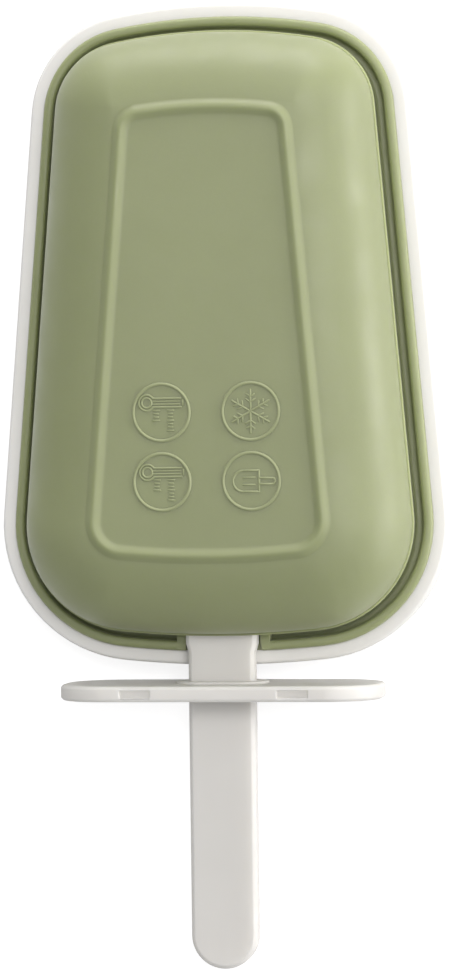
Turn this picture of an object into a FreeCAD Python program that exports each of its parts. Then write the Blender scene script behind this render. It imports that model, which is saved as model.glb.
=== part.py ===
import FreeCAD, Part
import math
import os

V = FreeCAD.Vector

# Millimetres. The mould lies on its lid with +Z up, the tip toward +Y and the stick toward -Y.

# Lid: a shallow tray whose edge is a tapered outline with arched ends
LID_LENGTH = 112.3
LID_HALF_WIDTH = 35.65
SIDE_TAPER = 4.8
TIP_ARCH = 100.5
TIP_CORNER = 17.5
FOOT_ARCH = 169.0
FOOT_CORNER = 23.2
LID_FLOOR = 1.6
LID_WALL = 2.2
LID_HEIGHT = 10.0
LID_DRAFT = 2.5
LID_FOOT_BEVEL = 0.9
LID_RIM_BEVEL = 0.6
LID_MOUTH_BEVEL = 0.25

# Silicone mould: flange and skirt inside the lid's wall, groove, then the domed body
SKIRT_FIT = 0.15
SKIRT_WALL = 1.5
SKIRT_HEIGHT = 9.6
SKIRT_BEVEL = 0.45
FLANGE = 5.0
GROOVE = 1.7
BODY_WALL = 2.0
EDGE_OVER_STICK = 0.5
EDGE_OVERHANG = 0.4
EDGE_THICKNESS = 0.35
EDGE_LEDGE = 0.4
DOME_HEIGHT = 11.7
DOME_ROUND = 11.0
CAVITY_BANDS = 6
FRAME_MARGIN = 2.4
FRAME_TIP_CORNER = 3.2
FRAME_FOOT_CORNER = 5.0
RIB_WIDTH = 2.6
RIB_HEIGHT = 0.5
RIB_ROOT = 0.5

# Notch in the skirt, tied to the body by a tab on each side of the stick
NOTCH_PLAY = 0.3
NOTCH_FLARE = 0.5
NOTCH_DEPTH = 1.25
TAB = 1.6

# Stick with its drip guard
STICK_WIDTH = 11.3
STICK_THICKNESS = 3.8
STICK_BEVEL = 0.6
STICK_REACH = 51.2
STICK_OVER_LID = 0.3
INNER_REACH = 47.0
INNER_CORNER = 3.5
GRIP_HOLES = 2
GRIP_HOLE_WIDTH = 3.6
GRIP_HOLE_LENGTH = 9.0
GRIP_HOLE_PITCH = 14.0
GRIP_HOLE_MARGIN = 5.0
PLUG_STEP = 0.4
PLUG_FIT = 0.1
GUARD_WIDTH = 55.0
GUARD_DEPTH = 21.0
GUARD_THICKNESS = 2.6
GUARD_CORNER = 9.0
GUARD_BEVEL = 0.4
GUARD_GAP = 2.9
POCKET_SPREAD = 26.6
POCKET_WIDTH = 5.2
POCKET_THICKNESS = 1.3
POCKET_DEPTH = 0.45
COLLAR_WIDTH = 15.8
COLLAR_DEPTH = 10.0
COLLAR_HEIGHT = 0.4

# Modelling allowances: the most of its room that a round takes, how far a cut runs past
# the face it opens, and how close two points count as one
ROUND_LIMIT = 0.95
OVERRUN = 1.0
SAME_POINT = 1e-6

# Where the pieces meet
MIDDLE = STICK_REACH / 2
SKIRT_IN = LID_WALL + SKIRT_FIT
GROOVE_IN = SKIRT_IN + SKIRT_WALL
WALL_IN = GROOVE_IN + GROOVE
EDGE_IN = WALL_IN - EDGE_OVERHANG
DOME_IN = EDGE_IN + EDGE_LEDGE
CAVITY_IN = WALL_IN + BODY_WALL
FLANGE_TOP = LID_FLOOR + FLANGE
SKIRT_TOP = LID_FLOOR + SKIRT_HEIGHT
STICK_MIDDLE = LID_HEIGHT + STICK_OVER_LID + STICK_THICKNESS / 2
EDGE_TOP = STICK_MIDDLE + STICK_THICKNESS / 2 + EDGE_OVER_STICK
DEPTH = EDGE_TOP + DOME_HEIGHT
DOME_CORNER = min(TIP_CORNER, FOOT_CORNER) - DOME_IN
SHOULDER = min(DOME_ROUND, ROUND_LIMIT * DOME_HEIGHT, ROUND_LIMIT * DOME_CORNER)
FRAME_IN = DOME_IN + SHOULDER + FRAME_MARGIN
NOTCH_FLOOR = SKIRT_TOP - NOTCH_DEPTH
FOOT = MIDDLE - LID_LENGTH / 2
GUARD_FACE = FOOT - GUARD_GAP
PLUG_WIDTH = STICK_WIDTH + 2 * PLUG_STEP
NOTCH_WIDTH = PLUG_WIDTH + 2 * NOTCH_PLAY


def outline(inset, z, tip_corner=None, foot_corner=None):
    """Closed wire at height z, parallel to the lid's edge and set in from it."""
    taper = math.radians(SIDE_TAPER)
    out = V(math.cos(taper), math.sin(taper), 0)
    along = V(-math.sin(taper), math.cos(taper), 0)
    side = LID_HALF_WIDTH * math.cos(taper) - inset
    ends = {}
    for end, arch, round_ in ((1, TIP_ARCH, tip_corner or TIP_CORNER - inset),
                              (-1, FOOT_ARCH, foot_corner or FOOT_CORNER - inset)):
        radius = arch - inset
        arch_centre = V(0, end * (LID_LENGTH / 2 - arch), 0)
        start = out * (side - round_) - arch_centre
        lean = start.dot(along)
        reach = -lean + end * math.sqrt(lean ** 2 - start.dot(start) + (radius - round_) ** 2)
        corner = arch_centre + start + along * reach
        toward = (corner - arch_centre).normalize()
        ends[end] = (
            corner + out * round_,
            corner + (out + toward).normalize() * round_,
            arch_centre + toward * radius,
            V(0, end * (LID_LENGTH / 2 - inset), 0),
        )

    def place(point, mirror=1):
        return V(mirror * point.x, point.y + MIDDLE, z)

    def arc(first, middle, last):
        return Part.Arc(first, middle, last).toShape()

    tip, foot = ends[1], ends[-1]
    right = [place(p) for p in (foot[0], tip[0], tip[1], tip[2])]
    left = [place(p, -1) for p in (tip[2], tip[1], tip[0], foot[0], foot[1], foot[2])]
    edges = [
        Part.makeLine(right[0], right[1]),
        arc(right[1], right[2], right[3]),
        arc(right[3], place(tip[3]), left[0]),
        arc(left[0], left[1], left[2]),
        Part.makeLine(left[2], left[3]),
        arc(left[3], left[4], left[5]),
        arc(left[5], place(foot[3]), place(foot[2])),
        arc(place(foot[2]), place(foot[1]), right[0]),
    ]
    return Part.Wire(edges)


def prism(inset, bottom, top):
    """Upright block whose sides are parallel to the lid's edge."""
    return Part.Face(outline(inset, bottom)).extrude(V(0, 0, top - bottom))


def stack(*sections):
    """Solid with straight sides through (inset, height) sections from the bottom up."""
    return Part.makeLoft([outline(inset, z) for inset, z in sections], True, True)


def edges_at(shape, z):
    """Edges of a shape that lie flat at height z."""
    return [e for e in shape.Edges if all(abs(v.Z - z) < SAME_POINT for v in e.Vertexes)]


def rounded_box(width, depth, height, centre, corner):
    """Block with rounded upright corners, standing on centre."""
    block = Part.makeBox(width, depth, height, centre - V(width / 2, depth / 2, 0))
    upright = [e for e in block.Edges if abs(e.tangentAt(e.FirstParameter).z) > 0.5]
    return block.makeFillet(min(corner, ROUND_LIMIT * min(width, depth) / 2), upright)


def make_lid():
    """Tray with a drafted wall, bevelled along its foot and both edges of its rim."""
    rim_start = LID_HEIGHT - LID_RIM_BEVEL
    slope = (rim_start - LID_FOOT_BEVEL) * math.tan(math.radians(LID_DRAFT))
    tray = stack(
        (slope + LID_FOOT_BEVEL, 0),
        (slope, LID_FOOT_BEVEL),
        (0, rim_start),
        (LID_RIM_BEVEL, LID_HEIGHT),
    )
    hollow = stack(
        (LID_WALL, LID_FLOOR),
        (LID_WALL, LID_HEIGHT - LID_MOUTH_BEVEL),
        (LID_WALL - LID_MOUTH_BEVEL, LID_HEIGHT),
    )
    return tray.cut(hollow)


def make_dome():
    """Closed base of the mould, with a rounded shoulder around its flat panel."""
    dome = prism(DOME_IN, EDGE_TOP, DEPTH)
    return dome.makeFillet(SHOULDER, edges_at(dome, DEPTH))


def make_cavity():
    """Hollow that the ice takes, its shoulder turned in narrow bands."""
    top = DEPTH - BODY_WALL
    round_ = SHOULDER - BODY_WALL
    sections = [(CAVITY_IN, LID_FLOOR)]
    for band in range(CAVITY_BANDS + 1):
        turn = math.pi / 2 * band / CAVITY_BANDS
        inset = CAVITY_IN + round_ * (1 - math.cos(turn))
        sections.append((inset, top - round_ * (1 - math.sin(turn))))
    return stack(*sections)


def make_rib():
    """Half-round rib that frames the base panel."""
    path = outline(FRAME_IN, DEPTH, FRAME_TIP_CORNER, FRAME_FOOT_CORNER)
    first = path.Edges[0]
    start = first.valueAt(first.FirstParameter)
    along = first.tangentAt(first.FirstParameter)
    side = along.cross(V(0, 0, 1)).normalize() * (RIB_WIDTH / 2)
    up = V(0, 0, RIB_HEIGHT)
    down = V(0, 0, -RIB_ROOT)
    section = Part.Wire([
        Part.Arc(start - side, start + up, start + side).toShape(),
        Part.makeLine(start + side, start + side + down),
        Part.makeLine(start + side + down, start - side + down),
        Part.makeLine(start - side + down, start - side),
    ])
    return path.makePipeShell([section], True, True)


def make_mould_body():
    """Silicone mould: flange, skirt, groove and domed body around the cavity."""
    rim = stack(
        (SKIRT_IN, LID_FLOOR),
        (SKIRT_IN, SKIRT_TOP - SKIRT_BEVEL),
        (SKIRT_IN + SKIRT_BEVEL, SKIRT_TOP),
    )
    groove = stack(
        (GROOVE_IN, FLANGE_TOP),
        (GROOVE_IN, SKIRT_TOP - SKIRT_BEVEL),
        (GROOVE_IN - SKIRT_BEVEL, SKIRT_TOP),
    )
    half = NOTCH_WIDTH / 2
    tabs = Part.makeBox(
        2 * (half + TAB), WALL_IN - SKIRT_IN + OVERRUN, SKIRT_TOP - FLANGE_TOP,
        V(-half - TAB, FOOT + SKIRT_IN + SKIRT_BEVEL, FLANGE_TOP))
    rim = rim.cut(groove.cut(tabs)).cut(make_notch(half))

    edge_bottom = EDGE_TOP - EDGE_THICKNESS
    wall = stack(
        (WALL_IN, LID_FLOOR),
        (WALL_IN, edge_bottom - EDGE_OVERHANG),
        (EDGE_IN, edge_bottom),
        (EDGE_IN, EDGE_TOP),
    )
    outer = rim.fuse([wall, make_dome(), make_rib()])
    slot_width = PLUG_WIDTH + 2 * PLUG_FIT
    slot = make_bar(
        [(slot_width, FOOT + CAVITY_IN + OVERRUN), (slot_width, FOOT + EDGE_IN - OVERRUN)],
        STICK_THICKNESS + 2 * PLUG_FIT, STICK_BEVEL + PLUG_FIT / 2)
    return outer.cut([make_cavity(), slot]).removeSplitter()


def make_notch(half):
    """Gap in the skirt in front of the stick: straight past the tabs, flared at the skirt."""
    inner = FOOT + WALL_IN
    flare = FOOT + GROOVE_IN
    outer = FOOT + SKIRT_IN - OVERRUN
    right = [(half, inner), (half, flare), (half + NOTCH_FLARE, outer)]
    left = [(-x, y) for x, y in reversed(right)]
    corners = [V(x, y, NOTCH_FLOOR) for x, y in right + left + right[:1]]
    return Part.Face(Part.makePolygon(corners)).extrude(V(0, 0, SKIRT_TOP - NOTCH_FLOOR))


def make_bar(stations, thickness, bevel):
    """Bar along the stick's axis through (width, y) stations, its lengthwise edges bevelled."""
    right = [(width / 2, y) for width, y in stations]
    left = [(-x, y) for x, y in reversed(right)]
    bottom = STICK_MIDDLE - thickness / 2
    corners = [V(x, y, bottom) for x, y in right + left + right[:1]]
    bar = Part.Face(Part.makePolygon(corners)).extrude(V(0, 0, thickness))
    lengthwise = [e for e in bar.Edges if abs(e.tangentAt(e.FirstParameter).y) > 0.5]
    return bar.makeChamfer(bevel, lengthwise)


def make_blade():
    """Flat stick: round outer end, eased edges and grip holes at the inner end."""
    outer_end = FOOT - STICK_REACH
    inner_end = FOOT + CAVITY_IN + INNER_REACH
    half = STICK_WIDTH / 2
    bottom = STICK_MIDDLE - STICK_THICKNESS / 2
    bar = Part.makeBox(
        STICK_WIDTH, inner_end - outer_end - half, STICK_THICKNESS,
        V(-half, outer_end + half, bottom))
    bar = bar.fuse(Part.makeCylinder(half, STICK_THICKNESS, V(0, outer_end + half, bottom)))
    bar = bar.removeSplitter()
    corners = [e for e in bar.Edges
               if len(e.Vertexes) == 2 and all(abs(v.Y - inner_end) < SAME_POINT for v in e.Vertexes)
               and abs(e.tangentAt(e.FirstParameter).z) > 0.5]
    bar = bar.makeFillet(min(INNER_CORNER, ROUND_LIMIT * half), corners)
    rims = edges_at(bar, bottom) + edges_at(bar, bottom + STICK_THICKNESS)
    bar = bar.makeChamfer(min(STICK_BEVEL, ROUND_LIMIT * STICK_THICKNESS / 2), rims)
    for index in range(GRIP_HOLES):
        middle = inner_end - GRIP_HOLE_MARGIN - GRIP_HOLE_LENGTH / 2 - index * GRIP_HOLE_PITCH
        bar = bar.cut(rounded_box(
            GRIP_HOLE_WIDTH, GRIP_HOLE_LENGTH, STICK_THICKNESS + 2 * OVERRUN,
            V(0, middle, bottom - OVERRUN), GRIP_HOLE_WIDTH / 2))
    return bar


def make_guard():
    """Drip guard: an oblong plate across the stick with core pockets in its long edges."""
    def plate(width, depth, thickness, corner, face):
        block = rounded_box(width, depth, thickness, V(0, 0, 0), corner)
        block.rotate(V(0, 0, 0), V(1, 0, 0), 90)
        block.translate(V(0, face, STICK_MIDDLE))
        return block

    guard = plate(GUARD_WIDTH, GUARD_DEPTH, GUARD_THICKNESS, GUARD_CORNER, GUARD_FACE)
    rims = [e for e in guard.Edges
            if abs(e.Vertexes[0].Y - e.Vertexes[-1].Y) < SAME_POINT]
    guard = guard.makeChamfer(min(GUARD_BEVEL, ROUND_LIMIT * GUARD_THICKNESS / 2), rims)
    for end in (-1, 1):
        for side in (-1, 1):
            top = STICK_MIDDLE + end * GUARD_DEPTH / 2
            guard = guard.cut(Part.makeBox(
                POCKET_WIDTH, POCKET_THICKNESS, 2 * POCKET_DEPTH,
                V(side * POCKET_SPREAD / 2 - POCKET_WIDTH / 2,
                  GUARD_FACE - (GUARD_THICKNESS + POCKET_THICKNESS) / 2,
                  top - POCKET_DEPTH)))
    collar = plate(COLLAR_WIDTH, COLLAR_DEPTH, COLLAR_HEIGHT + GUARD_THICKNESS / 2,
                   COLLAR_DEPTH / 2, GUARD_FACE + COLLAR_HEIGHT)
    return guard.fuse(collar)


def make_stick():
    """Blade, plug and drip guard in one; the plug narrows into the blade past the groove."""
    blend_end = 2 * SKIRT_IN - GROOVE_IN
    plug = make_bar(
        [(PLUG_WIDTH, FOOT + CAVITY_IN), (PLUG_WIDTH, FOOT + GROOVE_IN),
         (STICK_WIDTH - 2 * PLUG_STEP, FOOT + blend_end)],
        STICK_THICKNESS, STICK_BEVEL)
    return make_blade().fuse([plug, make_guard()]).removeSplitter()


PIECES = {
    "lid": make_lid,
    "mould_body": make_mould_body,
    "stick": make_stick,
}

os.makedirs("parts", exist_ok=True)
for name, make in PIECES.items():
    shape = make()
    solids = shape.Solids
    box = shape.BoundBox
    print(name, len(solids), "solid", shape.isValid(), round(shape.Volume), "mm3",
          [round(v, 2) for v in (box.XMin, box.XMax, box.YMin, box.YMax, box.ZMin, box.ZMax)])
    if len(solids) == 1:
        shape = solids[0]
    shape.exportStep("parts/" + name + ".step")
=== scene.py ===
import math

import bmesh
import bpy
from mathutils import Matrix, Vector


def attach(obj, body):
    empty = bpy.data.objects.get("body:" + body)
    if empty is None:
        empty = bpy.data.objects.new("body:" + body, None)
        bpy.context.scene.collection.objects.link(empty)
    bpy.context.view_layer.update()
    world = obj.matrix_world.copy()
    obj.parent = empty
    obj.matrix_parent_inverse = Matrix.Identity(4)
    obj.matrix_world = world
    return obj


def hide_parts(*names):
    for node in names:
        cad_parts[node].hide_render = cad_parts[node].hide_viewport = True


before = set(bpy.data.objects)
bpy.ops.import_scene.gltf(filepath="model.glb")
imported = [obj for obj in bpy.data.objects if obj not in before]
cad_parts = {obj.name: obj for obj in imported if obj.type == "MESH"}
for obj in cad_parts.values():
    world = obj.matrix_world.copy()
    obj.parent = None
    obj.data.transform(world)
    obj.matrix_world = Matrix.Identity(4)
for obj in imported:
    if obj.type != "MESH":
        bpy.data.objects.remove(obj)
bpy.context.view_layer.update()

# Shapes are drawn in millimetres and brought to metres at the end. The mould lies on its
# lid with +Z up, the tip toward +Y and the stick toward -Y.
MM = 0.001

# Outline of the lid, which every ring of the lid and the mould runs parallel to
LID_LENGTH = 112.3
LID_HALF_WIDTH = 35.65
SIDE_TAPER = 4.8
TIP_ARCH = 100.5
TIP_CORNER = 17.5
FOOT_ARCH = 169.0
FOOT_CORNER = 23.2
MIDDLE = 25.6
FOOT = MIDDLE - LID_LENGTH / 2

# Points along each half of the outline
FOOT_ARCH_STEPS = 16
CORNER_STEPS = 18
SIDE_STEPS = 8
TIP_ARCH_STEPS = 20

# Lid
LID_FLOOR = 1.6
LID_WALL = 2.4
LID_HEIGHT = 10.0
LID_SLOPE = 0.37
LID_FOOT_ROUND = 0.9
LID_RIM_ROUND = 0.6
LID_MOUTH_ROUND = 0.06
LID_FLOOR_ROUND = 0.4
LID_CAP_IN = 9

# Silicone mould: insets from the lid's edge, and heights
SKIRT_OUT = 2.4
SKIRT_IN = 4.0
SKIRT_LIP = 0.06
WALL_OUT = 5.55
EDGE_OUT = 5.15
DOME_OUT = 5.55
CAVITY_IN = 7.55
FLANGE_TOP = 8.8
SKIRT_TOP = 11.2
EDGE_TOP = 14.6
EDGE_THICKNESS = 0.4
DEPTH = 26.25
SHOULDER = 11.0
SHOULDER_REACH = 14.0
SHOULDER_START = 17.25
SHOULDER_STEPS = 24
DOME_FOOT = 0.4
SKIRT_STEP = 0.02
SILICONE = 2.0
CAVITY_FLAT_IN = 17.2
CAVITY_STEPS = 16

# Rib that frames the base panel, with the rings that lead the panel up to it
FRAME_IN = 18.95
FRAME_TIP_CORNER = 3.2
FRAME_FOOT_CORNER = 5.0
RIB_WIDTH = 2.6
RIB_HEIGHT = 0.55
RIB_BLEND = 0.15
RIB_STEPS = 8
PANEL_RINGS = (0.9, 0.3)

# Notch in the skirt, its tabs, and the slot that the plug fills
NOTCH_HALF = 6.35
NOTCH_FLARE = 0.5
NOTCH_FLOOR = 9.95
TAB = 1.6
TAB_SET_BACK = 0.4
TAB_DROP = 0.02
TAB_IN_FLANGE = 0.2
TAB_IN_WALL = 0.6
STICK_MIDDLE = 12.2
SLOT_WIDTH = 12.3
SLOT_HEIGHT = 4.0
SLOT_ROUND = 0.7
OVERRUN = 1

# Stick: how close two points of the frame's mesh count as one, how flat two faces are
# when they are joined, and how wide its corners are eased
SAME_POINT = 0.001
FLAT_ANGLE = 0.5
STICK_EASE = 0.22

# Raised marks on the base panel
MARK_ACROSS = 7.48
MARK_ROWS = (12.25, 0.72)
MARK_RADIUS = 4.7
MARK_LINE = 0.58
MARK_FINE = 0.42
MARK_HEIGHT = 0.26
MARK_SINK = 0.02

# Studio: tone of the floor, its glow and the air's light, and the softboxes' tint and aim
PAPER = 0.5
FLOOR_GLOW = 0.76
FLOOR_REACH = 4
AIR_LIGHT = 0.45
WARM = (1, 0.975, 0.955)
LIGHT_AIM = (0, 0.02, 0.015)

# Camera, in metres, and its focal length in pixels of the photo
EYE = Vector((0.09878, 0.00438, 0.609))
AIM = Vector((0.00161, -0.00060, 0.010))
PHOTO_UP = Vector((0.01279, 1, 0))
PHOTO_HEIGHT = 977
FOCAL = 3575.9
SENSOR = 36.0


def swing(centre, radius, start, end, steps):
    """Points along an arc from one direction to another, without the last one."""
    first = math.atan2(start.y, start.x)
    last = math.atan2(end.y, end.x)
    turns = (first + (last - first) * k / steps for k in range(steps))
    return [centre + radius * Vector((math.cos(t), math.sin(t))) for t in turns]


def edge_line(inset, tip_corner=None, foot_corner=None):
    """Points all round, parallel to the lid's edge and set in from it."""
    taper = math.radians(SIDE_TAPER)
    out = Vector((math.cos(taper), math.sin(taper)))
    along = Vector((-math.sin(taper), math.cos(taper)))
    side = LID_HALF_WIDTH * math.cos(taper) - inset
    half = []
    for end, arch, corner in ((-1, FOOT_ARCH, foot_corner or FOOT_CORNER - inset),
                              (1, TIP_ARCH, tip_corner or TIP_CORNER - inset)):
        arch_centre = Vector((0, end * (LID_LENGTH / 2 - arch)))
        start = out * (side - corner) - arch_centre
        lean = start.dot(along)
        reach = -lean + end * math.sqrt(
            lean ** 2 - start.dot(start) + (arch - inset - corner) ** 2)
        centre = arch_centre + start + along * reach
        toward = (centre - arch_centre).normalized()
        middle = Vector((0, end))
        if end < 0:
            half += swing(arch_centre, arch - inset, middle, toward, FOOT_ARCH_STEPS)
            half += swing(centre, corner, toward, out, CORNER_STEPS)
            low = centre + out * corner
        else:
            high = centre + out * corner
            half += [low.lerp(high, k / SIDE_STEPS) for k in range(SIDE_STEPS)]
            half += swing(centre, corner, out, toward, CORNER_STEPS)
            half += swing(arch_centre, arch - inset, toward, middle, TIP_ARCH_STEPS)
    tip = Vector((0, LID_LENGTH / 2 - inset))
    left = [Vector((-p.x, p.y)) for p in reversed(half[1:])]
    return [(p.x, p.y + MIDDLE) for p in half + [tip] + left]


def rounded(corners):
    """Section line through (inset, height, round, steps) corners, each turned on its radius."""
    line = []
    for k, (inset, z, radius, steps) in enumerate(corners):
        here = Vector((inset, z))
        if not radius:
            line.append((inset, z))
            continue
        back = (Vector(corners[k - 1][:2]) - here).normalized()
        on = (Vector(corners[k + 1][:2]) - here).normalized()
        half = back.angle(on) / 2
        centre = here + (back + on).normalized() * (radius / math.sin(half))
        start = here + back * (radius / math.tan(half)) - centre
        end = here + on * (radius / math.tan(half)) - centre
        turn = start.angle(end)
        for step in range(steps + 1):
            t = step / steps
            point = centre + (start * math.sin((1 - t) * turn)
                              + end * math.sin(t * turn)) / math.sin(turn)
            line.append((point.x, point.y))
    return line


def ring_body(stations):
    """Closed body drawn out from ring to ring; a station is (points, z)."""
    bm = bmesh.new()
    place = bm.verts.layers.int.new("place")
    points, z = stations[0]
    verts = [bm.verts.new((x, y, z)) for x, y in points]
    for k, v in enumerate(verts):
        v[place] = k
    rim = bm.faces.new(verts).edges[:]
    for points, z in stations[1:]:
        made = bmesh.ops.extrude_edge_only(bm, edges=rim)["geom"]
        for v in made:
            if isinstance(v, bmesh.types.BMVert):
                v.co = (*points[v[place]], z)
        rim = [e for e in made if isinstance(e, bmesh.types.BMEdge) and e.is_boundary]
    bmesh.ops.contextual_create(bm, geom=rim)
    bmesh.ops.recalc_face_normals(bm, faces=bm.faces)
    return bm


def parallel(pairs):
    """Stations whose rings all run parallel to the lid's edge."""
    return [(edge_line(inset), z) for inset, z in pairs]


def finish_piece(name, bm, body, material, sharp=32, replaces=None):
    """Bring a shape to metres and hang it on its body with its finish."""
    bmesh.ops.scale(bm, vec=(MM, MM, MM), verts=bm.verts)
    mesh = bpy.data.meshes.new(name)
    bm.to_mesh(mesh)
    bm.free()
    return hang(name, mesh, body, material, sharp, replaces)


def hang(name, mesh, body, material, sharp, replaces):
    """Make a piece of a mesh, smooth but for edges past the sharp angle in degrees."""
    mesh.shade_smooth()
    mesh.set_sharp_from_angle(angle=math.radians(sharp))
    mesh.materials.clear()
    mesh.materials.append(material)
    piece = bpy.data.objects.new(name, mesh)
    bpy.context.scene.collection.objects.link(piece)
    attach(piece, body)
    if replaces:
        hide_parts(replaces)
    return piece


def carve(bm, steps):
    """Join ("UNION") or cut ("DIFFERENCE") blocks in turn, and hand back the new shape."""
    base = bpy.data.meshes.new("blank")
    bm.to_mesh(base)
    bm.free()
    blank = bpy.data.objects.new("blank", base)
    bpy.context.scene.collection.objects.link(blank)
    tools = []
    for kind, block in steps:
        mesh = bpy.data.meshes.new("tool")
        block.to_mesh(mesh)
        block.free()
        tool = bpy.data.objects.new("tool", mesh)
        bpy.context.scene.collection.objects.link(tool)
        cut = blank.modifiers.new("cut", "BOOLEAN")
        cut.operation = kind
        cut.solver = "EXACT"
        cut.object = tool
        tools.append(tool)
    bpy.context.view_layer.update()
    made = bmesh.new()
    made.from_object(blank, bpy.context.evaluated_depsgraph_get())
    for thing in [blank] + tools:
        mesh = thing.data
        bpy.data.objects.remove(thing)
        bpy.data.meshes.remove(mesh)
    return made


def block(low, high):
    """Upright box between two corners."""
    bm = bmesh.new()
    bmesh.ops.create_cube(bm, size=1)
    low, high = Vector(low), Vector(high)
    bmesh.ops.scale(bm, vec=high - low, verts=bm.verts)
    bmesh.ops.translate(bm, vec=(low + high) / 2, verts=bm.verts)
    return bm


def upright(plan, low, high):
    """Upright prism on a plan."""
    bm = bmesh.new()
    base = bm.faces.new([bm.verts.new((x, y, low)) for x, y in plan])
    made = bmesh.ops.extrude_face_region(bm, geom=[base])["geom"]
    for v in made:
        if isinstance(v, bmesh.types.BMVert):
            v.co.z = high
    bmesh.ops.recalc_face_normals(bm, faces=bm.faces)
    return bm


# Finishes

class Finish:
    """A material whose shader is fed by patterns on the piece's own coordinates."""

    def __init__(self, name, roughness, specular):
        self.material = bpy.data.materials.new(name)
        self.material.use_nodes = True
        self.tree = self.material.node_tree
        self.shader = self.tree.nodes["Principled BSDF"]
        self.shader.inputs["Roughness"].default_value = roughness
        self.shader.inputs["Specular IOR Level"].default_value = specular
        self.place = self.tree.nodes.new("ShaderNodeTexCoord").outputs["Object"]

    def node(self, kind, links=(), **settings):
        """New node with its settings, its inputs fed by values or by other nodes."""
        made = self.tree.nodes.new(kind)
        for key, value in settings.items():
            setattr(made, key, value)
        for socket, value in dict(links).items():
            self.feed(made.inputs[socket], value)
        return made

    def feed(self, socket, value):
        """Link another node's output to a socket, or set the socket's own value."""
        if isinstance(value, bpy.types.NodeSocket):
            self.tree.links.new(value, socket)
        else:
            socket.default_value = value

    def glow_through(self, weight, radius, depth):
        """Let light wander under the surface, by depth in metres."""
        self.shader.inputs["Subsurface Weight"].default_value = weight
        self.shader.inputs["Subsurface Radius"].default_value = radius
        self.shader.inputs["Subsurface Scale"].default_value = depth

    def noise(self, scale, detail=2.0, stretch=(1, 1, 1)):
        """Soft random pattern; scale counts features per metre."""
        moved = self.node("ShaderNodeMapping", {"Vector": self.place, "Scale": stretch})
        return self.node("ShaderNodeTexNoise", {
            "Vector": moved.outputs["Vector"], "Scale": scale, "Detail": detail,
            "Roughness": 0.55}).outputs["Fac"]

    def span(self, value, low, high, to_low, to_high):
        """Value carried from one range to another, held at its ends."""
        return self.node("ShaderNodeMapRange", {
            "Value": value, "From Min": low, "From Max": high,
            "To Min": to_low, "To Max": to_high}).outputs["Result"]

    def blend(self, share, first, second):
        """Colour between two colours by a share."""
        mix = self.node("ShaderNodeMix", data_type="RGBA")
        self.feed(mix.inputs["Factor"], share)
        self.feed(mix.inputs["A"], first)
        self.feed(mix.inputs["B"], second)
        return mix.outputs["Result"]

    def times(self, first, second):
        """Product of two values."""
        made = self.node("ShaderNodeMath", operation="MULTIPLY")
        self.feed(made.inputs[0], first)
        self.feed(made.inputs[1], second)
        return made.outputs["Value"]

    def height(self, pattern, strength, distance, under=None):
        """Surface relief from a pattern, in metres, laid over an earlier relief."""
        made = self.node("ShaderNodeBump", {
            "Height": pattern, "Strength": strength, "Distance": distance})
        if under:
            self.feed(made.inputs["Normal"], under)
        return made.outputs["Normal"]


def colour(red, green, blue):
    """Screen colour 0-255 as the linear colour that the shader takes."""
    return (*(((c / 255 + 0.055) / 1.055) ** 2.4 for c in (red, green, blue)), 1.0)


def silicone_finish(name, through):
    """Matte pigmented silicone with fine grain and a few specks of dust."""
    f = Finish(name, roughness=0.52, specular=0.8)
    clouds = f.span(f.noise(scale=28, detail=3), 0.35, 0.65, 0, 1)
    tone = f.blend(clouds, colour(139, 146, 105), colour(144, 151, 110))
    grain = f.noise(scale=2600, detail=3)
    tone = f.blend(f.span(grain, 0.3, 0.7, 0, 0.10), tone, colour(130, 138, 100))
    dust = f.node("ShaderNodeTexVoronoi", {"Vector": f.place, "Scale": 95.0})
    chosen = f.node("ShaderNodeSeparateColor", {"Color": dust.outputs["Color"]})
    speck = f.times(
        f.span(dust.outputs["Distance"], 0.018, 0.034, 1, 0),
        f.span(chosen.outputs["Red"], 0.84, 0.86, 0, 1))
    tone = f.blend(f.times(speck, 0.55), tone, colour(206, 208, 186))
    f.feed(f.shader.inputs["Base Color"], tone)
    worn = f.noise(scale=160, detail=3)
    f.feed(f.shader.inputs["Roughness"], f.span(worn, 0.3, 0.7, 0.47, 0.60))
    f.glow_through(through, radius=(0.9, 0.95, 0.62), depth=0.0028)
    f.shader.inputs["Sheen Weight"].default_value = 0.1
    f.shader.inputs["Sheen Roughness"].default_value = 0.4
    relief = f.height(grain, strength=0.12, distance=0.00006)
    waves = f.noise(scale=70, detail=2)
    relief = f.height(waves, strength=0.25, distance=0.00012, under=relief)
    f.feed(f.shader.inputs["Normal"], relief)
    return f.material


def plastic_finish(name, light, dark, along, through, depth):
    """White satin plastic with faint flow lines and a fine moulded grain."""
    f = Finish(name, roughness=0.5, specular=0.35)
    f.glow_through(through, radius=(1.0, 0.96, 0.88), depth=depth)
    clouds = f.span(f.noise(scale=22, detail=3), 0.35, 0.65, 0, 1)
    flow = f.span(f.noise(scale=55, detail=4, stretch=along), 0.35, 0.7, 0, 0.5)
    tone = f.blend(clouds, light, dark)
    tone = f.blend(flow, tone, light)
    f.feed(f.shader.inputs["Base Color"], tone)
    worn = f.noise(scale=240, detail=4)
    f.feed(f.shader.inputs["Roughness"], f.span(worn, 0.3, 0.7, 0.42, 0.58))
    grain = f.noise(scale=3200, detail=2)
    relief = f.height(grain, strength=0.06, distance=0.00004)
    waves = f.noise(scale=45, detail=2, stretch=along)
    relief = f.height(waves, strength=0.2, distance=0.00012, under=relief)
    f.feed(f.shader.inputs["Normal"], relief)
    return f.material


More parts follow.
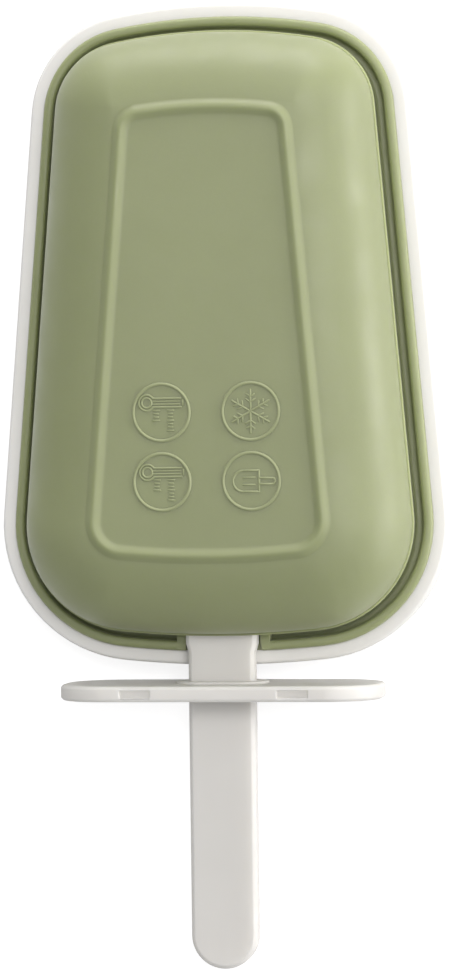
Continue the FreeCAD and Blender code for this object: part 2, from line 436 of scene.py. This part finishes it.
silicone = silicone_finish("sage_silicone", through=0.75)
mark_silicone = silicone_finish("sage_silicone_marks", through=0.0)
lid_plastic = plastic_finish(
    "lid_satin_white", light=colour(232, 231, 229), dark=colour(228, 227, 224),
    along=(1, 1, 3), through=0.4, depth=0.003)
stick_plastic = plastic_finish(
    "stick_satin_white", light=colour(217, 216, 213), dark=colour(212, 210, 207),
    along=(3, 0.3, 3), through=0.6, depth=0.004)


# Shapes

def make_lid():
    """Shallow tray with a leaning wall and rounded rims."""
    return ring_body(parallel(rounded([
        (LID_CAP_IN, 0, 0, 0),
        (LID_SLOPE, 0, LID_FOOT_ROUND, 5),
        (0, LID_HEIGHT, LID_RIM_ROUND, 5),
        (LID_WALL, LID_HEIGHT, LID_MOUTH_ROUND, 4),
        (LID_WALL, LID_FLOOR, LID_FLOOR_ROUND, 4),
        (LID_CAP_IN, LID_FLOOR, 0, 0),
    ])))


def frame_line(offset):
    """Points all round, parallel to the middle of the rib and set in from it."""
    return edge_line(FRAME_IN + offset, FRAME_TIP_CORNER - offset, FRAME_FOOT_CORNER - offset)


def make_mould():
    """Domed mould drawn from the panel's rib out to the skirt and back into the cavity."""
    foot = RIB_WIDTH / 2 + RIB_BLEND
    first = math.asin(1 - (SHOULDER_START - DOME_OUT) / SHOULDER_REACH)
    fall = SHOULDER * (1 - math.cos(first))
    stations = [(frame_line(foot + offset), DEPTH) for offset in PANEL_RINGS]
    for step in range(2 * RIB_STEPS + 1):
        t = 1 - step / RIB_STEPS
        stations.append((frame_line(foot * t),
                         DEPTH + RIB_HEIGHT * (1 - t * t) ** 2 + fall * min(t, 0)))
    edge_bottom = EDGE_TOP - EDGE_THICKNESS
    for step in range(SHOULDER_STEPS + 1):
        turn = first + (math.pi / 2 - first) * step / SHOULDER_STEPS
        stations += parallel([(DOME_OUT + SHOULDER_REACH * (1 - math.sin(turn)),
                               DEPTH - SHOULDER * (1 - math.cos(turn)))])
    stations += parallel(rounded([
        (DOME_OUT, EDGE_TOP + DOME_FOOT, 0, 0),
        (DOME_OUT, EDGE_TOP, 0.1, 2),
        (EDGE_OUT, EDGE_TOP, 0.14, 3),
        (EDGE_OUT, edge_bottom, 0.12, 2),
        (WALL_OUT, edge_bottom - (WALL_OUT - EDGE_OUT), 0.3, 3),
        (WALL_OUT, FLANGE_TOP, 0.7, 4),
        (SKIRT_IN, FLANGE_TOP, 0.5, 4),
        (SKIRT_IN, SKIRT_TOP, 0.6, 6),
        (SKIRT_OUT - SKIRT_LIP, SKIRT_TOP, 0.8, 6),
        (SKIRT_OUT - SKIRT_LIP, LID_HEIGHT + SKIRT_STEP, 0.04, 1),
        (SKIRT_OUT, LID_HEIGHT + SKIRT_STEP, 0, 0),
        (SKIRT_OUT, LID_FLOOR, 0.15, 2),
        (CAVITY_IN, LID_FLOOR, 0.2, 3),
        (CAVITY_IN, DEPTH - SHOULDER, 0, 0),
    ]))
    roof = DEPTH - SILICONE
    for step in range(1, CAVITY_STEPS + 1):
        turn = math.pi / 2 * (1 - step / CAVITY_STEPS)
        stations += parallel([(CAVITY_IN + (CAVITY_FLAT_IN - CAVITY_IN) * (1 - math.sin(turn)),
                               roof - (SHOULDER - SILICONE) * (1 - math.cos(turn)))])
    body = ring_body(stations)
    tabs = block(
        (-NOTCH_HALF - TAB, FOOT + SKIRT_OUT + TAB_SET_BACK, FLANGE_TOP - TAB_IN_FLANGE),
        (NOTCH_HALF + TAB, FOOT + WALL_OUT + TAB_IN_WALL, SKIRT_TOP - TAB_DROP))
    notch_side = [(NOTCH_HALF, FOOT + WALL_OUT), (NOTCH_HALF, FOOT + SKIRT_IN),
                  (NOTCH_HALF + NOTCH_FLARE, FOOT + SKIRT_OUT - OVERRUN)]
    notch = upright(notch_side + [(-x, y) for x, y in reversed(notch_side)],
                    NOTCH_FLOOR, SKIRT_TOP + OVERRUN)
    slot = block(
        (-SLOT_WIDTH / 2, FOOT + EDGE_OUT - OVERRUN, STICK_MIDDLE - SLOT_HEIGHT / 2),
        (SLOT_WIDTH / 2, FOOT + CAVITY_IN + OVERRUN, STICK_MIDDLE + SLOT_HEIGHT / 2))
    lengthwise = [e for e in slot.edges if abs((e.verts[0].co - e.verts[1].co).y) > 1]
    bmesh.ops.bevel(slot, geom=lengthwise, offset=SLOT_ROUND, offset_type="OFFSET",
                    segments=4, profile=0.5, affect="EDGES", clamp_overlap=True, material=-1)
    return carve(body, [("UNION", tabs), ("DIFFERENCE", notch), ("DIFFERENCE", slot)])


def make_stick():
    """The stick as it is cut in the frame, its loose triangles joined into clean faces."""
    bm = bmesh.new()
    bm.from_mesh(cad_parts["stick"].data)
    bmesh.ops.scale(bm, vec=(1 / MM, 1 / MM, 1 / MM), verts=bm.verts)
    bmesh.ops.remove_doubles(bm, verts=bm.verts, dist=SAME_POINT)
    bmesh.ops.dissolve_limit(bm, angle_limit=math.radians(FLAT_ANGLE), verts=bm.verts,
                             edges=bm.edges, use_dissolve_boundaries=False)
    return bm


class Marks:
    """Raised lines on the base panel, flattened into low beads."""

    def __init__(self):
        self.bm = bmesh.new()

    def settle(self, verts, x, y, heading):
        """Flatten a line, turn it and lay it on the panel."""
        height = MARK_HEIGHT / MARK_LINE * 2
        bmesh.ops.scale(self.bm, vec=(1, 1, height), verts=verts)
        bmesh.ops.rotate(self.bm, cent=(0, 0, 0), verts=verts,
                         matrix=Matrix.Rotation(heading, 3, "Z"))
        bmesh.ops.translate(self.bm, vec=(x, y, DEPTH - MARK_SINK), verts=verts)

    def ring(self, x, y, radius, line, start=0, turn=360):
        """Ring about a point, or the part of one that turns from start, in degrees."""
        whole = turn >= 360
        first = bmesh.ops.create_circle(
            self.bm, segments=8, radius=line / 2,
            matrix=Matrix.Translation((radius, 0, 0)) @ Matrix.Rotation(math.pi / 2, 4, "X"))
        verts = set(first["verts"])
        edges = list({e for v in verts for e in v.link_edges})
        made = bmesh.ops.spin(
            self.bm, geom=list(verts) + edges, cent=(0, 0, 0), axis=(0, 0, 1),
            angle=math.radians(turn), steps=max(8, round(turn * radius / 26 + 14)),
            use_merge=whole)
        last = [g for g in made["geom_last"] if isinstance(g, bmesh.types.BMEdge)]
        faces = {f for v in verts if v.is_valid for f in v.link_faces}
        if not whole:
            bmesh.ops.contextual_create(self.bm, geom=edges)
            bmesh.ops.contextual_create(self.bm, geom=last)
        self.settle(self.grow(faces), x, y, math.radians(start))

    def grow(self, faces):
        """Every vertex joined to these faces."""
        seen = set(faces)
        todo = list(faces)
        while todo:
            for e in todo.pop().edges:
                for f in e.link_faces:
                    if f not in seen:
                        seen.add(f)
                        todo.append(f)
        return list({v for f in seen for v in f.verts})

    def bar(self, x0, y0, x1, y1, line):
        """Straight line with round ends."""
        run = Vector((x1 - x0, y1 - y0))
        verts = bmesh.ops.create_uvsphere(
            self.bm, u_segments=8, v_segments=5, radius=line / 2,
            matrix=Matrix.Rotation(math.pi / 2, 4, "Y"))["verts"]
        for v in verts:
            if v.co.x > 0:
                v.co.x += run.length
        self.settle(verts, x0, y0, math.atan2(run.y, run.x))

    def thermometer(self, x, y):
        """Thermometer lying on its side, with two short columns of tick marks."""
        fine = MARK_FINE
        bulb, up = x - 2.45, y + 1.6
        lean = math.degrees(math.asin(0.72 / 1.3))
        self.ring(bulb, up, 1.3, fine, lean, 360 - 2 * lean)
        self.ring(bulb, up, 0.82, fine)
        for side in (-1, 1):
            self.bar(bulb + 1.1, up + side * 0.72, x + 3.3, up + side * 0.72, fine)
            self.bar(bulb + 0.9, up + side * 0.24, x + 3.1, up + side * 0.24, fine * 0.8)
        self.bar(x + 3.62, up - 0.4, x + 3.62, up + 0.4, fine)
        for column, count in ((-0.85, 4), (1.55, 7)):
            for k in range(count):
                reach = 0.5 if k % 3 == 0 else 0.32
                level = y + 0.35 - 0.56 * k
                self.bar(x + column - reach, level, x + column + reach, level, fine * 0.8)

    def snowflake(self, x, y):
        """Six arms with two pairs of twigs each."""
        for k in range(6):
            turn = math.radians(60 * k + 30)
            ahead = Vector((math.cos(turn), math.sin(turn)))
            end = ahead * 3.5
            self.bar(x, y, x + end.x, y + end.y, MARK_FINE)
            for root, reach in ((1.5, 0.9), (2.4, 0.75)):
                for lean in (-55, 55):
                    tip = ahead * root + (Matrix.Rotation(math.radians(lean), 2) @ ahead) * reach
                    self.bar(x + ahead.x * root, y + ahead.y * root, x + tip.x, y + tip.y,
                             MARK_FINE * 0.85)

    def ice_pop(self, x, y):
        """Ice pop lying on its side, its stick to the right."""
        fine = MARK_FINE
        self.ring(x - 1.3, y, 1.75, fine, 90, 180)
        for side in (-1, 1):
            self.bar(x - 1.3, y + side * 1.75, x + 1.3, y + side * 1.75, fine)
            self.bar(x - 1.3, y + side * 0.6, x + 0.6, y + side * 0.6, fine * 0.85)
            self.bar(x + 1.3, y + side * 0.5, x + 3.5, y + side * 0.5, fine)
        self.bar(x + 1.3, y - 1.75, x + 1.3, y + 1.75, fine)
        self.ring(x + 3.5, y, 0.5, fine, -90, 180)


def make_marks():
    """Two thermometers on the left, a snowflake and an ice pop on the right, all ringed."""
    marks = Marks()
    for row in MARK_ROWS:
        for side in (-1, 1):
            marks.ring(side * MARK_ACROSS, row, MARK_RADIUS, MARK_LINE)
        marks.thermometer(-MARK_ACROSS, row)
    marks.snowflake(MARK_ACROSS, MARK_ROWS[0])
    marks.ice_pop(MARK_ACROSS, MARK_ROWS[1])
    bmesh.ops.recalc_face_normals(marks.bm, faces=marks.bm.faces)
    return marks.bm


def true_up(piece, bevel=None):
    """Ease the piece's corners and keep its flats flat under smooth shading."""
    if bevel:
        round_off = piece.modifiers.new("eased_corners", "BEVEL")
        round_off.width = bevel * MM
        round_off.segments = 3
        round_off.limit_method = "ANGLE"
        round_off.angle_limit = math.radians(28)
        round_off.miter_outer = "MITER_ARC"
    flats = piece.modifiers.new("true_flats", "WEIGHTED_NORMAL")
    flats.keep_sharp = True


true_up(finish_piece("white_lid", make_lid(), "lid", lid_plastic,
                     replaces="lid"))
true_up(finish_piece("silicone_mould", make_mould(), "mould", silicone,
                     replaces="mould_body"))
true_up(finish_piece("panel_marks", make_marks(), "mould", mark_silicone,
                     sharp=60))
true_up(finish_piece("stick_with_guard", make_stick(), "stick",
                     stick_plastic, sharp=40, replaces="stick"), bevel=STICK_EASE)


# Studio

def studio_floor():
    """Paper floor that takes the shadow and is lifted to white only where it is seen."""
    bm = bmesh.new()
    bmesh.ops.create_grid(bm, x_segments=1, y_segments=1, size=FLOOR_REACH)
    mesh = bpy.data.meshes.new("studio_floor")
    bm.to_mesh(mesh)
    bm.free()
    floor = bpy.data.objects.new("studio_floor", mesh)
    bpy.context.scene.collection.objects.link(floor)
    material = bpy.data.materials.new("pale_paper")
    material.use_nodes = True
    tree = material.node_tree
    tree.nodes.clear()
    paper = tree.nodes.new("ShaderNodeBsdfDiffuse")
    paper.inputs["Color"].default_value = (PAPER, PAPER, PAPER, 1)
    glow = tree.nodes.new("ShaderNodeEmission")
    glow.inputs["Color"].default_value = (1, 1, 1, 1)
    seen = seen_share(tree)
    lift = tree.nodes.new("ShaderNodeMath")
    lift.operation = "MULTIPLY"
    lift.inputs[1].default_value = FLOOR_GLOW
    tree.links.new(seen, lift.inputs[0])
    tree.links.new(lift.outputs["Value"], glow.inputs["Strength"])
    both = tree.nodes.new("ShaderNodeAddShader")
    tree.links.new(paper.outputs["BSDF"], both.inputs[0])
    tree.links.new(glow.outputs["Emission"], both.inputs[1])
    out = tree.nodes.new("ShaderNodeOutputMaterial")
    tree.links.new(both.outputs["Shader"], out.inputs["Surface"])
    mesh.materials.append(material)


def seen_share(tree):
    """1 where the camera or a reflection sees it, and 0 where it only lights."""
    path = tree.nodes.new("ShaderNodeLightPath")
    larger = tree.nodes.new("ShaderNodeMath")
    larger.operation = "MAXIMUM"
    tree.links.new(path.outputs["Is Camera Ray"], larger.inputs[0])
    tree.links.new(path.outputs["Is Glossy Ray"], larger.inputs[1])
    return larger.outputs["Value"]


def studio_air():
    """Even light from all round, seen as white by the camera."""
    world = bpy.data.worlds.new("studio_air")
    bpy.context.scene.world = world
    world.use_nodes = True
    tree = world.node_tree
    back = tree.nodes["Background"]
    back.inputs["Color"].default_value = (1, 1, 1, 1)
    level = tree.nodes.new("ShaderNodeMapRange")
    level.inputs["To Min"].default_value = AIR_LIGHT
    level.inputs["To Max"].default_value = 1.0
    path = tree.nodes.new("ShaderNodeLightPath")
    tree.links.new(path.outputs["Is Camera Ray"], level.inputs["Value"])
    tree.links.new(level.outputs["Result"], back.inputs["Strength"])


def lamp(name, place, size, power):
    """Softbox that faces the mould; place and size in metres, power in watts."""
    light = bpy.data.lights.new(name, "AREA")
    light.shape = "RECTANGLE"
    light.size, light.size_y = size
    light.energy = power
    light.color = WARM
    holder = bpy.data.objects.new(name, light)
    bpy.context.scene.collection.objects.link(holder)
    holder.location = place
    aim = Vector(LIGHT_AIM) - Vector(place)
    holder.rotation_euler = aim.to_track_quat("-Z", "Y").to_euler()


studio_floor()
studio_air()
lamp("main_softbox", (0.40, 0.36, 1.34), (0.6, 0.6), 9.7)
lamp("right_softbox", (1.2, 0.05, 0.19), (0.9, 0.3), 11.4)
lamp("tip_softbox", (0.05, 1.15, 0.2), (0.9, 0.34), 9.7)

camera_data = bpy.data.cameras.new("camera")
camera_data.sensor_fit = "VERTICAL"
camera_data.sensor_height = SENSOR
camera_data.lens = FOCAL * SENSOR / PHOTO_HEIGHT
camera_data.clip_start = 0.01
camera = bpy.data.objects.new("camera", camera_data)
bpy.context.scene.collection.objects.link(camera)
back = (EYE - AIM).normalized()
right = PHOTO_UP.cross(back).normalized()
turn = Matrix((right, back.cross(right), back)).transposed().to_4x4()
camera.matrix_world = Matrix.Translation(EYE) @ turn
bpy.context.scene.camera = camera
bpy.context.scene.view_settings.view_transform = "Standard"
